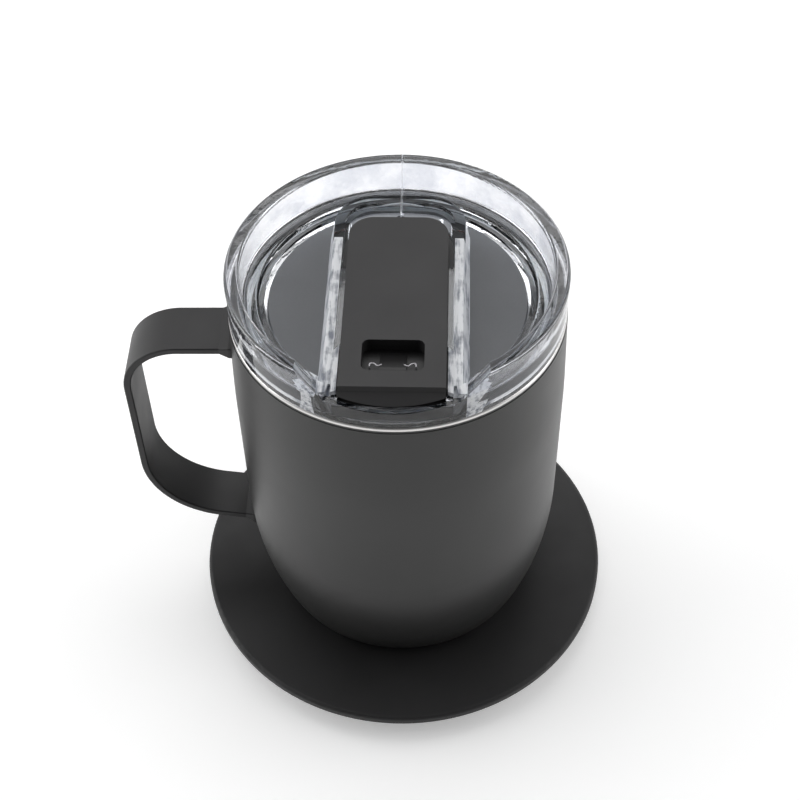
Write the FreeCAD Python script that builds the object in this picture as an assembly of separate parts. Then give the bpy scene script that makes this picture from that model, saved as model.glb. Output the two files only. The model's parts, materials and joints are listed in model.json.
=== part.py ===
import FreeCAD, Part
import math
import os

# Self-heating mug on its charging saucer, millimetres, +Z up.
# Origin: centre of the saucer's resting face. The drinking side is -Y and the handle is on -X.

# Mug body
belly_radius = 45.0
shoulder_taper = 0.8
mouth_height = 119.1
belly_top_below_mouth = 27.1
belly_corner = 31.0
belly_round = 112.0
shoulder_round = 400.0
bottom_taper = 6.8
bottom_gap = 2.4
bottom_round = 2.5
bottom_rim_width = 5.2
shell_wall = 0.6
insulation_gap = 2.2
lip_height = 1.9
lip_inset = 0.15
lip_round = 0.85
cup_wall = 0.8
cup_round = 10.0

# Strap handle
finger_room = 27.4
handle_below_mouth = 10.5
handle_top_round = 16.0
handle_low_round = 25.0
handle_foot_height = 34.9
handle_foot_slope = 9.5
strap_width = 15.8
strap_thickness = 2.0
strap_edge_round = 0.45
strap_root = 6.0
weld_flare = 0.8
weld_length = 2.6

# Saucer
seat_inset = 2.0
saucer_rim_width = 24.9
saucer_edge_height = 10.0
saucer_edge_face = 2.5
saucer_edge_round = 1.1
saucer_wall = 1.8
seat_depth = 1.4
seat_step = 0.3
saucer_undercut = 11.1
underside_round = 5.0
saucer_collar = 0.45
saucer_floor_wall = 1.6
saucer_screw_count = 4
saucer_screw_pad = 1.2
saucer_screw_inset = 5.0
pad_inset = 2.5
pad_thickness = 2.2
pad_proud = 1.5
pad_chamfer = 0.5

# Screws and clearances
screw_shank_radius = 1.0
screw_head_radius = 1.9
screw_head_height = 1.2
hole_gap = 0.2
screw_tip_gap = 0.4
boss_wall = 1.3
boss_root = 0.4
side_gap = 0.3
sole_gap = 0.4
seal_gap = 0.1
part_clearance = 0.4
small_gap = 0.2
cut_past = 1.0

# Wireless power
coil_inner_radius = 9.0
coil_turns = 5
coil_height = 1.2
coil_groove = 0.3
ferrite_margin = 1.5
ferrite_height = 0.8
ferrite_screw_wall = 0.7
tray_wall = 1.2
tray_window_count = 6
tray_window_circle = 0.55
tray_window_size = 0.2

# Circuit boards, their parts and the power socket
board_height = 1.0
board_gap = 2.0
board_rim_gap = 3.0
board_half_angle = 30.0
board_notch = 2.5
chip_side = 5.0
chip_height = 0.9
chip_edge_round = 0.2
chip_place = 9.0
chip_setback = 4.5
inductor_side = 6.0
inductor_edge_round = 0.8
inductor_place = 9.5
inductor_setback = 4.0
capacitor_length = 1.6
capacitor_width = 0.8
capacitor_pitch = 3.0
big_chip_x = -8.0
big_chip_y = 6.0
big_chip_side = 6.0
big_chip_height = 1.0
big_inductor_y = -12.0
big_inductor_side = 8.0
big_inductor_height = 2.6
big_inductor_round = 1.0
gauge_x = 9.0
gauge_y = 7.0
gauge_width = 5.0
gauge_length = 4.0
gauge_height = 1.2
row_y = 15.0
row_pitch = 4.0
row_length = 2.0
row_width = 1.2
row_height = 0.8
can_radius = 2.2
can_height = 2.8
can_y = -9.0
can_left = -13.0
can_right = 12.0
socket_width = 8.94
socket_height = 3.26
socket_length = 7.35
socket_wall = 0.35
socket_back_wall = 1.5
socket_clearance = 0.25
socket_tongue_width = 6.7
socket_tongue_length = 5.0
socket_tongue_height = 0.7

# Mug electronics, stacked from the bottom cover up
cover_chamfer = 0.6
foot_ring_width = 3.4
foot_ring_inset = 1.0
foot_ring_height = 1.6
foot_ring_groove = 0.8
foot_ring_fit = 0.1
cover_screw_count = 3
cover_screw_inset = 0.5
cover_screw_sunk = 0.2
cradle_wall = 1.2
cradle_flange = 2.0
stand_radius = 1.6
stand_inset = 4.5
board_standoff = 2.2
parts_room = 3.2
shield_height = 3.8
heater_height = 0.4
heater_margin = 0.6
heater_slot = 1.0
plate_height = 0.8
plate_margin = 1.0
sensor_radius = 1.3
sensor_height = 1.8
sensor_hole = 3.0
cutoff_radius = 1.3
cutoff_length = 7.0
cutoff_centre = 14.0
lead_radius = 0.35
lead_length = 2.0

# Lid
lid_turn = -2.6
ring_inset = 0.2
ring_height = 12.55
ring_draft = 0.1
ring_wall = 4.2
ring_inner_draft = 0.3
ring_round = 0.9
ring_crown = 0.25
ledge_above_mouth = 3.4
ledge_width = 3.4
ledge_fall = 0.3
ledge_round = 1.2
ledge_edge_round = 0.7
step_width = 2.8
step_drop = 1.4
step_fall = 0.2
lid_plate = 2.0
floor_above_mouth = 0.4
plug_gap = 1.3
plug_wall = 2.1
plug_depth = 10.5
plug_lead = 0.5
plug_lead_height = 0.8
groove_rise = 2.6
groove_height = 3.4
groove_depth = 0.9
groove_fit = 0.1
gasket_gap = 0.25
fin_height = 0.9
fin_slant = 0.3
fin_thinning = 0.2

# Slider, its channel and the drink hole, in the lid's own frame
slider_half_width = 13.0
slider_rear_inset = 19.0
slider_rear_round = 6.5
slider_top_below_crest = 2.65
slider_thickness = 1.9
slider_edge_round = 0.5
slider_front_inset = 1.0
slider_travel = 10.0
travel_spare = 0.6
nose_run = 3.2
nose_drop = 3.3
nose_top_round = 1.2
nose_foot_round = 0.8
nose_back_inset = 2.0
sole_front_inset = 3.2
channel_side_room = 1.7
channel_rear_round = 8.0
rail_height = 3.3
rail_top_width = 2.3
rail_spread = 2.2
bridge_root = 0.5
lip_overhang = 1.5
lip_front_inset = 15.8
lip_rear = 4.0
lip_slant = 2.0
lip_thickness = 1.3
channel_front_inset = 0.4
hollow_front_inset = 3.5
notch_side_room = 2.4
notch_depth = 6.35
notch_corner = 1.0
notch_lean = 0.5
notch_flare = 1.6
notch_reach = 3.0
window_length = 10.3
window_width = 15.5
window_inset = 10.7
window_round = 1.8
tongue_width = 6.5
tongue_below_top = 1.4
tongue_rear_room = 1.2
tongue_crown = 1.0
hook_setback = 0.9
hook_place = 2.0
hook_width = 2.6
hook_length = 1.4
hook_height = 1.6
hook_round = 0.5
drink_hole_width = 15.0
drink_hole_length = 5.6
drink_hole_inset = 7.2
drink_hole_round = 2.2
seal_side_margin = 1.5
seal_end_margin = 1.0
seal_edge_round = 0.3
seal_share = 0.6
vent_radius = 1.2
vent_inset = 5.0

smallest_inner_round = 1.0

# Radii that follow from the belly of the mug
shell_top_radius = belly_radius - shoulder_taper
bottom_corner_radius = belly_radius - bottom_taper
bottom_opening_radius = bottom_corner_radius - bottom_rim_width
lip_radius = shell_top_radius - lip_inset
cup_radius = shell_top_radius - shell_wall - insulation_gap - cup_wall
heater_radius = cup_radius - cup_round - heater_margin
handle_reach = belly_radius + finger_room + strap_thickness
foot_ring_outer = bottom_opening_radius - foot_ring_inset
foot_ring_inner = foot_ring_outer - foot_ring_width
cover_screw_circle = foot_ring_inner - screw_head_radius - cover_screw_inset
ferrite_radius = cover_screw_circle - screw_shank_radius - ferrite_screw_wall
coil_radius = ferrite_radius - ferrite_margin
coil_turn_pitch = (coil_radius - coil_inner_radius) / coil_turns
cradle_radius = bottom_opening_radius - side_gap
mug_board_radius = cradle_radius - cradle_wall - side_gap
seat_radius = bottom_corner_radius - seat_inset
saucer_radius = seat_radius + saucer_rim_width
underside_radius = saucer_radius - saucer_undercut
saucer_cone_top = saucer_radius - saucer_wall - side_gap
pad_radius = underside_radius - pad_inset
saucer_screw_circle = pad_radius - saucer_screw_inset
board_inner = ferrite_radius + tray_wall + board_gap
board_outer = underside_radius - board_rim_gap
ring_radius = shell_top_radius - ring_inset
ring_inner_low = ring_radius - ring_wall
ring_inner_top = ring_inner_low + ring_inner_draft
ledge_inner_radius = ring_inner_low - ledge_width
floor_radius = ledge_inner_radius - step_width
plug_radius = cup_radius - plug_gap

# Heights that follow from the seat up
pad_top = pad_thickness
saucer_floor = pad_proud
saucer_floor_top = saucer_floor + saucer_floor_wall
seat_height = saucer_edge_height - seat_depth
saucer_skirt_bottom = saucer_edge_height - saucer_edge_face
saucer_ceiling = seat_height - saucer_wall
saucer_head_seat = pad_top
saucer_boss_foot = saucer_floor_top + saucer_screw_pad
saucer_board_bottom = saucer_floor_top + (saucer_ceiling - saucer_floor_top - board_height) * 0.6
tray_top = saucer_ceiling - coil_height - ferrite_height
cover_bottom = seat_height + foot_ring_height - foot_ring_groove
cover_head_seat = cover_bottom + screw_head_height - cover_screw_sunk
shell_bottom = seat_height + bottom_gap
shell_floor_top = shell_bottom + shell_wall
cover_top = shell_bottom
ferrite_seat = cover_top + coil_height
cradle_floor = ferrite_seat + ferrite_height
mug_board_bottom = cradle_floor + cradle_wall + board_standoff
mug_board_top = mug_board_bottom + board_height
cradle_top = mug_board_top + parts_room
plate_bottom = cradle_top + shield_height
heater_bottom = plate_bottom + plate_height
cup_underside = heater_bottom + heater_height
cup_floor = cup_underside + cup_wall
shell_top = mouth_height - lip_height
belly_top = mouth_height - belly_top_below_mouth
handle_top = mouth_height - handle_below_mouth
lid_top = mouth_height + ring_height
ledge_top = mouth_height + ledge_above_mouth
lid_floor_top = mouth_height + floor_above_mouth
lid_floor_underside = lid_floor_top - lid_plate
plug_bottom = mouth_height - plug_depth
groove_bottom = plug_bottom + groove_rise
groove_top = groove_bottom + groove_height
platform_above_mouth = ring_height - slider_top_below_crest - slider_thickness - side_gap - rail_height
platform_top = mouth_height + platform_above_mouth
platform_underside = platform_top - lid_plate
rail_top = platform_top + rail_height
slider_top = lid_top - slider_top_below_crest
notch_floor = lid_top - notch_depth

# Slider sizes that follow from the ring and the rails
channel_half_width = slider_half_width + channel_side_room
notch_half_width = slider_half_width + notch_side_room
slider_front_radius = ring_radius - slider_front_inset
slider_rear = ring_inner_low - slider_rear_inset
channel_rear = slider_rear + slider_travel + travel_spare
lip_front = lip_front_inset - ring_inner_low
window_centre = window_inset - ring_inner_low
drink_hole_centre = drink_hole_inset - ring_inner_low
cap_bottom = rail_top + side_gap
runner_top = rail_top - lip_thickness - side_gap
runner_bottom = platform_top + sole_gap
seal_top = runner_bottom + (runner_top - runner_bottom) * seal_share
neck_half_width = channel_half_width - lip_overhang - side_gap
nose_bottom = notch_floor + side_gap

ORIGIN = FreeCAD.Vector(0, 0, 0)
UP = FreeCAD.Vector(0, 0, 1)


def point(x, y, z):
    return FreeCAD.Vector(x, y, z)


def in_section(r, z):
    return point(r, 0, z)


def at_height(height):
    return lambda x, y: point(x, y, height)


def unit(ax, ay, bx, by):
    length = math.hypot(bx - ax, by - ay)
    return (bx - ax) / length, (by - ay) / length


def rounded_wire(corners, place):
    """Closed outline of straight runs, each corner (u, v, radius) rounded by a tangent arc."""
    joints = []
    count = len(corners)
    for i, (u, v, radius) in enumerate(corners):
        before = corners[i - 1]
        after = corners[(i + 1) % count]
        in_u, in_v = unit(before[0], before[1], u, v)
        out_u, out_v = unit(u, v, after[0], after[1])
        turn = math.atan2(in_u * out_v - in_v * out_u, in_u * out_u + in_v * out_v)
        if radius <= 0 or abs(turn) < 1e-6:
            joints.append((place(u, v), None, place(u, v)))
            continue
        reach = radius * math.tan(abs(turn) / 2)
        bisect_u, bisect_v = out_u - in_u, out_v - in_v
        scale = math.hypot(bisect_u, bisect_v)
        sag = radius / math.cos(turn / 2) - radius
        middle = place(u + bisect_u / scale * sag, v + bisect_v / scale * sag)
        joints.append((place(u - in_u * reach, v - in_v * reach), middle,
                       place(u + out_u * reach, v + out_v * reach)))
    edges = []
    for i, (start, middle, end) in enumerate(joints):
        if middle is not None:
            edges.append(Part.Arc(start, middle, end).toShape())
        following = joints[(i + 1) % count][0]
        if end.distanceToPoint(following) > 1e-5:
            edges.append(Part.LineSegment(end, following).toShape())
    return Part.Wire(edges)


def offset_path(path, thickness):
    """The open path moved to its left by the thickness; corner rounds stay concentric or turn sharp."""
    moved = []
    for i, (u, v, radius) in enumerate(path):
        if i > 0:
            in_u, in_v = unit(path[i - 1][0], path[i - 1][1], u, v)
        if i < len(path) - 1:
            out_u, out_v = unit(u, v, path[i + 1][0], path[i + 1][1])
        if i == 0:
            in_u, in_v = out_u, out_v
        if i == len(path) - 1:
            out_u, out_v = in_u, in_v
        side_u, side_v = -in_v - out_v, in_u + out_u
        scale = 2 * thickness / (side_u * side_u + side_v * side_v)
        turn = in_u * out_v - in_v * out_u
        inner = radius - thickness if turn > 0 else radius + thickness
        new_radius = inner if radius > 0 and inner > smallest_inner_round else 0
        moved.append((u + side_u * scale, v + side_v * scale, new_radius))
    return moved


def sheet(path, thickness):
    """Closed corners of a sheet of even thickness that follows the path on its left."""
    return path + offset_path(path, thickness)[::-1]


def turned(corners):
    """Solid of revolution about Z of a rounded outline in the radius-height plane."""
    return Part.Face(rounded_wire(corners, in_section)).revolve(ORIGIN, UP, 360)


def ring(inner, outer, bottom, top, edge=0):
    return turned([(inner, bottom, edge), (outer, bottom, edge), (outer, top, edge), (inner, top, edge)])


def disc(radius, bottom, top, edge=0):
    return turned([(0, bottom, 0), (radius, bottom, edge), (radius, top, edge), (0, top, 0)])


def post(x, y, radius, bottom, top):
    return Part.makeCylinder(radius, top - bottom, point(x, y, bottom), UP)


def prism(corners, bottom, top):
    """Upright prism of a rounded plan outline."""
    return Part.Face(rounded_wire(corners, at_height(bottom))).extrude(UP * (top - bottom))


def block(x, y, bottom, width, length, height, edge=0):
    """Upright block centred on x, y, with rounded upright edges."""
    half_x, half_y = width / 2, length / 2
    plan = [(x - half_x, y - half_y, edge), (x + half_x, y - half_y, edge),
            (x + half_x, y + half_y, edge), (x - half_x, y + half_y, edge)]
    return prism(plan, bottom, bottom + height)


def top_edges(shape, height):
    return [e for e in shape.Edges if e.BoundBox.ZMin > height - 1e-4]


def around(count, radius, start=0.0):
    """Evenly spaced places on a circle."""
    return [(radius * math.cos(math.radians(start + 360 * i / count)),
             radius * math.sin(math.radians(start + 360 * i / count))) for i in range(count)]


def screw(x, y, head_bottom, length):
    """Cheese-head screw that points up, its head at the bottom, with a cross recess."""
    head = post(x, y, screw_head_radius, head_bottom, head_bottom + screw_head_height)
    shank = post(x, y, screw_shank_radius, head_bottom + screw_head_height, head_bottom + length)
    recess = screw_head_radius * 1.1
    slot = screw_head_radius * 0.3
    depth = screw_head_height / 2
    cross = block(x, y, head_bottom, recess, slot, depth).fuse(block(x, y, head_bottom, slot, recess, depth))
    return head.fuse(shank).cut(cross)


def wound_coil(bottom):
    """Flat coil whose turns show as ridges on its upper face, bonded into one disc."""
    top = bottom + coil_height
    ridges = [(coil_inner_radius, top - coil_groove, 0)]
    for turn in range(coil_turns):
        middle = coil_inner_radius + (turn + 0.5) * coil_turn_pitch
        ridges += [(middle, top, 0), (middle + coil_turn_pitch / 2, top - coil_groove, 0)]
    return turned([(coil_inner_radius, bottom, 0), (coil_radius, bottom, 0)] + ridges[::-1])


# Saucer

saucer_screws_at = around(saucer_screw_count, saucer_screw_circle, 45)


def dish_path():
    """Skirt, soft edge, dished slope and the shallow seat that centres the mug."""
    return [(saucer_radius, saucer_skirt_bottom, 0),
            (saucer_radius, saucer_edge_height, saucer_edge_round),
            (seat_radius, seat_height + seat_step, 0),
            (seat_radius - 2 * seat_step, seat_height, 0),
            (0, seat_height, 0)]


def underside_path():
    """Floor, undercut cone and the short collar that plugs into the skirt of the dish."""
    return [(0, saucer_floor, 0),
            (underside_radius, saucer_floor, underside_round),
            (saucer_cone_top, saucer_skirt_bottom, 0),
            (saucer_cone_top, saucer_skirt_bottom + saucer_collar, 0)]


def underside_radius_at(height):
    rise = (height - saucer_floor) / (saucer_skirt_bottom - saucer_floor)
    return underside_radius + rise * (saucer_cone_top - underside_radius)


def dish_underside_at(radius):
    """Height of the dish's underside at a radius outside the seat."""
    slope = (seat_depth - seat_step) / (saucer_radius - seat_radius)
    return seat_height + seat_step + (radius - seat_radius) * slope - saucer_wall


saucer_boss_top = dish_underside_at(saucer_screw_circle)
socket_bottom = saucer_board_bottom + board_height / 2 - socket_height / 2
socket_front = underside_radius_at(socket_bottom) - side_gap


def saucer_top():
    shell = turned(sheet(dish_path(), saucer_wall))
    bosses = []
    for x, y in saucer_screws_at:
        boss = post(x, y, screw_shank_radius + boss_wall, saucer_boss_foot, saucer_boss_top + boss_root)
        bosses.append(boss.cut(post(x, y, screw_shank_radius, saucer_boss_foot, saucer_boss_top)))
    return shell.fuse(bosses).removeSplitter()


def socket_cutter():
    """Space of the power socket through the rear of the lower shell."""
    length = socket_length + saucer_radius - socket_front
    return block(0, socket_front - socket_length + length / 2, socket_bottom - socket_clearance,
                 socket_width + 2 * socket_clearance, length, socket_height + 2 * socket_clearance)


def saucer_bottom():
    shell = turned(sheet(underside_path(), saucer_floor_wall))
    shell = shell.common(disc(saucer_radius, saucer_floor, saucer_skirt_bottom + saucer_collar))
    shell = shell.cut(disc(pad_radius + side_gap, saucer_floor - cut_past, pad_top))
    pad_width = screw_head_radius + boss_wall
    shell = shell.fuse([post(x, y, pad_width, pad_top, saucer_boss_foot) for x, y in saucer_screws_at])
    shell = shell.removeSplitter()
    for x, y in saucer_screws_at:
        shell = shell.cut(post(x, y, screw_shank_radius + hole_gap, 0, saucer_boss_foot))
        head_top = saucer_head_seat + screw_head_height
        shell = shell.cut(post(x, y, screw_head_radius + hole_gap, 0, head_top))
    return shell.cut(socket_cutter())


def saucer_pad():
    return turned([(0, 0, 0), (pad_radius - pad_chamfer, 0, 0), (pad_radius, pad_chamfer, 0),
                   (pad_radius, pad_top, 0), (0, pad_top, 0)])


def saucer_screws():
    length = saucer_boss_top - saucer_head_seat - screw_tip_gap
    return Part.makeCompound([screw(x, y, saucer_head_seat, length) for x, y in saucer_screws_at])


def transmitter_coil():
    return wound_coil(saucer_ceiling - coil_height)


def transmitter_ferrite():
    return disc(ferrite_radius, tray_top, tray_top + ferrite_height)


def coil_tray():
    """Dish that carries the ferrite, its floor pierced by a circle of round windows."""
    tray = disc(ferrite_radius + tray_wall, saucer_floor_top, tray_top + ferrite_height)
    tray = tray.cut(disc(ferrite_radius, tray_top, tray_top + ferrite_height + cut_past))
    window_radius = ferrite_radius * tray_window_size
    for x, y in around(tray_window_count, ferrite_radius * tray_window_circle):
        tray = tray.cut(post(x, y, window_radius, saucer_floor_top - cut_past, tray_top + cut_past))
    return tray


def saucer_board():
    """Sector of a ring, notched round the power socket."""
    sector = ring(board_inner, board_outer, saucer_board_bottom, saucer_board_bottom + board_height)
    far = 2 * board_outer
    spread = math.tan(math.radians(board_half_angle))
    wedge = prism([(0, 0, 0), (far * spread, far, 0), (-far * spread, far, 0)],
                  saucer_board_bottom, saucer_board_bottom + board_height)
    notch = block(0, board_outer, saucer_board_bottom, socket_width + 2 * socket_clearance,
                  2 * (board_outer - socket_front + socket_length), board_height)
    return sector.common(wedge).cut(notch)


def saucer_board_parts():
    """Controller, inductor and a row of capacitors on the board's lower face."""
    room = saucer_board_bottom - saucer_floor_top
    middle = (board_inner + board_outer) / 2
    chip_bottom = saucer_board_bottom - chip_height
    chip = block(-chip_place, middle - chip_setback, chip_bottom, chip_side, chip_side, chip_height,
                 chip_edge_round)
    inductor = block(inductor_place, middle - inductor_setback, saucer_floor_top, inductor_side,
                     inductor_side, room, inductor_edge_round)
    parts = [chip, inductor]
    for i in range(4):
        x, y = (i - 1.5) * capacitor_pitch, board_inner + capacitor_length
        parts.append(block(x, y, saucer_board_bottom - capacitor_width, capacitor_length, capacitor_width,
                           capacitor_width))
    return Part.makeCompound(parts)


def power_socket():
    """Oval metal shell with its centre tongue, open to the rear."""
    rear = socket_front - socket_length
    half_width, half_height = socket_width / 2, socket_height / 2
    middle = socket_bottom + half_height

    def oval(inset, start, length):
        side, top = half_width - inset, half_height - inset
        nearly_half = top * 0.98
        plan = [(-side, middle - top, nearly_half), (side, middle - top, nearly_half),
                (side, middle + top, nearly_half), (-side, middle + top, nearly_half)]
        face = Part.Face(rounded_wire(plan, lambda x, z: point(x, start, z)))
        return face.extrude(point(0, length, 0))

    body = oval(0, rear, socket_length)
    hollow = oval(socket_wall, rear + socket_back_wall, socket_length)
    tongue_y = rear + socket_back_wall + (socket_tongue_length - cut_past) / 2
    tongue = block(0, tongue_y, middle - socket_tongue_height / 2, socket_tongue_width, socket_tongue_length,
                   socket_tongue_height)
    return body.cut(hollow).fuse(tongue)


# Mug

cover_screws_at = around(cover_screw_count, cover_screw_circle, 90)


def shell_path():
    return [(bottom_opening_radius, shell_bottom, 0),
            (bottom_corner_radius, shell_bottom, bottom_round),
            (belly_radius, belly_corner, belly_round),
            (belly_radius, belly_top, shoulder_round),
            (shell_top_radius, shell_top, 0)]


def outer_shell():
    return turned(sheet(shell_path(), shell_wall))


def shell_envelope():
    """The mug's whole outer form as one solid, to trim what is welded to it."""
    return turned([(0, shell_bottom, 0)] + shell_path() + [(0, shell_top, 0)])


def shell_radius_at(height):
    """Outer radius of the shell at a height, from its own solid."""
    ray = Part.makeLine(point(0, 0, height), point(2 * belly_radius, 0, height))
    return shell_envelope().common(ray).BoundBox.XMax


def inner_cup():
    """Cup with the rolled lip that closes the wall cavity at the mouth."""
    path = [(lip_radius, shell_top, 0),
            (lip_radius, mouth_height, lip_round),
            (cup_radius, mouth_height, lip_round),
            (cup_radius, cup_floor, cup_round),
            (0, cup_floor, 0)]
    return turned(sheet(path, cup_wall))


def handle_path():
    fall = math.tan(math.radians(handle_foot_slope))
    inside = belly_radius - strap_root
    corner = handle_foot_height + (handle_reach - belly_radius) * fall
    return [(-inside, handle_top, 0),
            (-handle_reach, handle_top, handle_top_round),
            (-handle_reach, corner, handle_low_round),
            (-inside, corner - (handle_reach - inside) * fall, 0)]


def weld_foot(x, z, slope):
    """Flared end of the strap: it grows evenly all round towards the shell."""
    half_width, half_thick = strap_width / 2, strap_thickness / 2
    along = point(math.cos(slope), 0, math.sin(slope))
    across = point(-math.sin(slope), 0, math.cos(slope))

    def section(distance, grow):
        centre = point(x, 0, z) + along * distance
        corners = [(-half_width - grow, -half_thick - grow, strap_edge_round),
                   (half_width + grow, -half_thick - grow, strap_edge_round),
                   (half_width + grow, half_thick + grow, strap_edge_round),
                   (-half_width - grow, half_thick + grow, strap_edge_round)]
        return rounded_wire(corners, lambda a, b: centre + point(0, a, 0) + across * b)

    flare = Part.makeLoft([section(-weld_length, 0), section(0, weld_flare)], True)
    root = Part.Face(section(0, weld_flare)).extrude(along * (strap_root - cut_past))
    return flare.fuse(root)


def strap_handle():
    """Bent flat strap, its long edges eased, its two ends flared and trimmed to the shell."""
    outline = rounded_wire(sheet(handle_path(), strap_thickness), lambda x, z: point(x, -strap_width / 2, z))
    strap = Part.Face(outline).extrude(point(0, strap_width, 0))
    outside = strap_root - belly_radius
    long_edges = [e for e in strap.Edges if abs(e.BoundBox.YLength) < 1e-6 and e.BoundBox.XMin < outside
                  and max(e.BoundBox.XLength, e.BoundBox.ZLength) > strap_thickness * 1.5]
    strap = strap.makeFillet(strap_edge_round, long_edges)
    slope = math.radians(-handle_foot_slope)
    feet = [weld_foot(-shell_radius_at(handle_top), handle_top - strap_thickness / 2, 0.0),
            weld_foot(-shell_radius_at(handle_foot_height), handle_foot_height + strap_thickness / 2, slope)]
    return strap.fuse(feet).cut(shell_envelope())


def bottom_cover():
    flange = bottom_corner_radius - bottom_round
    cover = turned([(0, cover_bottom, 0), (flange - cover_chamfer, cover_bottom, 0),
                    (flange, cover_bottom + cover_chamfer, 0), (flange, cover_top, 0), (0, cover_top, 0)])
    cover = cover.cut(ring(foot_ring_inner - foot_ring_fit, foot_ring_outer + foot_ring_fit,
                           cover_bottom - cut_past, cover_bottom + foot_ring_groove))
    for x, y in cover_screws_at:
        hole = post(x, y, screw_shank_radius + hole_gap, cover_bottom, cover_top + cut_past)
        recess = post(x, y, screw_head_radius + hole_gap, cover_bottom - cut_past, cover_head_seat)
        cover = cover.cut(hole).cut(recess)
    return cover


def foot_ring():
    return ring(foot_ring_inner, foot_ring_outer, seat_height, seat_height + foot_ring_height)


def receiver_coil():
    return wound_coil(cover_top)


def receiver_ferrite():
    return disc(ferrite_radius, ferrite_seat, cradle_floor)


def cradle():
    """Moulded cup, open at the top, that holds coil and ferrite below its floor and the board above it."""
    pocket = ferrite_radius + small_gap
    flange = cradle_radius + cradle_flange
    inside = cradle_radius - cradle_wall
    floor_top = cradle_floor + cradle_wall
    body = turned([(pocket, cover_top, 0), (cradle_radius, cover_top, 0), (cradle_radius, shell_floor_top, 0),
                   (flange, shell_floor_top, 0), (flange, shell_floor_top + cradle_wall, 0),
                   (cradle_radius, shell_floor_top + cradle_wall, 0), (cradle_radius, cradle_top, 0),
                   (inside, cradle_top, 0), (inside, floor_top, 0), (0, floor_top, 0), (0, cradle_floor, 0),
                   (pocket, cradle_floor, 0)])
    body = body.fuse([post(x, y, stand_radius, floor_top, mug_board_bottom)
                      for x, y in around(4, cradle_radius - stand_inset, 45)])
    for x, y in cover_screws_at:
        body = body.cut(post(x, y, screw_shank_radius, cover_top - cut_past, cradle_floor + cradle_wall / 2))
    return body


def bottom_screws():
    head = cover_head_seat - screw_head_height
    return Part.makeCompound([screw(x, y, head, cradle_floor - head) for x, y in cover_screws_at])


def mug_board():
    board = disc(mug_board_radius, mug_board_bottom, mug_board_top)
    for x, y in around(2, mug_board_radius):
        board = board.cut(post(x, y, board_notch, mug_board_bottom - cut_past, mug_board_top + cut_past))
    return board


def mug_board_parts():
    """Controller, gauge chip, inductor, two can capacitors and a row of small ones."""
    top = mug_board_top
    parts = [block(big_chip_x, big_chip_y, top, big_chip_side, big_chip_side, big_chip_height, chip_edge_round)]
    parts.append(block(gauge_x, gauge_y, top, gauge_width, gauge_length, gauge_height, chip_edge_round))
    parts.append(block(0, big_inductor_y, top, big_inductor_side, big_inductor_side, big_inductor_height,
                       big_inductor_round))
    for x in (can_right, can_left):
        parts.append(post(x, can_y, can_radius, top, top + can_height))
    for i in range(6):
        parts.append(block((i - 2.5) * row_pitch, row_y, top, row_length, row_width, row_height))
    return Part.makeCompound(parts)


def heater_foil():
    """Etched foil: two half moons joined by the bridge that carries the terminals."""
    foil = disc(heater_radius, heater_bottom, cup_underside)
    slot_length = 2 * (heater_radius + sensor_hole)
    return foil.cut(block(0, heater_radius, heater_bottom, heater_slot, slot_length, heater_height))


def heater_plate():
    plate = disc(heater_radius - plate_margin, plate_bottom, heater_bottom)
    return plate.cut(post(0, 0, sensor_hole, plate_bottom - cut_past, heater_bottom + cut_past))


def heat_shield():
    """Foam disc between the hot plate and the board, cut out round the sensor and the cut-off."""
    shield = disc(cradle_radius, cradle_top, plate_bottom)
    middle = post(0, 0, sensor_hole + part_clearance, cradle_top - cut_past, plate_bottom + cut_past)
    pocket_length = cutoff_length + 2 * (lead_length + part_clearance)
    pocket_width = 2 * (cutoff_radius + part_clearance)
    pocket_depth = 2 * cutoff_radius
    pocket = block(cutoff_centre, 0, plate_bottom - pocket_depth, pocket_length, pocket_width, pocket_depth)
    return shield.cut(middle).cut(pocket)


def temperature_sensor():
    """Bead against the foil in the middle, on its stiff pair of leads down to the board."""
    bead_bottom = heater_bottom - sensor_height
    bead = post(0, 0, sensor_radius, bead_bottom, heater_bottom)
    spacing = sensor_radius / 2
    return bead.fuse([post(x, 0, lead_radius, mug_board_top, bead_bottom) for x in (-spacing, spacing)])


def thermal_cutoff():
    """Small cylinder clipped under the plate, with its two leads."""
    middle = plate_bottom - cutoff_radius
    start = cutoff_centre - cutoff_length / 2
    body = Part.makeCylinder(cutoff_radius, cutoff_length, point(start, 0, middle), point(1, 0, 0))
    wire_start = point(start - lead_length, 0, middle)
    wire = Part.makeCylinder(lead_radius, cutoff_length + 2 * lead_length, wire_start, point(1, 0, 0))
    return body.fuse(wire)


# Lid, in its own frame with the spout towards -Y

def lid_turning():
    """Ring, ledge, stepped floor and plug as one turned section."""
    plug_inner = plug_radius - plug_wall
    groove_root = plug_radius - groove_depth
    step = step_width / 5
    return turned([(0, lid_floor_underside, 0),
                   (plug_inner, lid_floor_underside, 0),
                   (plug_inner, plug_bottom, 0),
                   (plug_radius - plug_lead, plug_bottom, 0),
                   (plug_radius, plug_bottom + plug_lead_height, 0),
                   (plug_radius, groove_bottom, 0),
                   (groove_root, groove_bottom, 0),
                   (groove_root, groove_top, 0),
                   (plug_radius, groove_top, 0),
                   (plug_radius, mouth_height, 0),
                   (ring_radius - ring_draft, mouth_height, 0),
                   (ring_radius, lid_top, ring_round),
                   (ring_inner_top, lid_top - ring_crown, ring_round),
                   (ring_inner_low, ledge_top, ledge_round),
                   (ledge_inner_radius, ledge_top - ledge_fall, ledge_edge_round),
                   (ledge_inner_radius - step, ledge_top - step_drop, 0),
                   (floor_radius + 1.5 * step, ledge_top - step_drop - step_fall, 0),
                   (floor_radius, lid_floor_top, 0),
                   (0, lid_floor_top, 0)])


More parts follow.
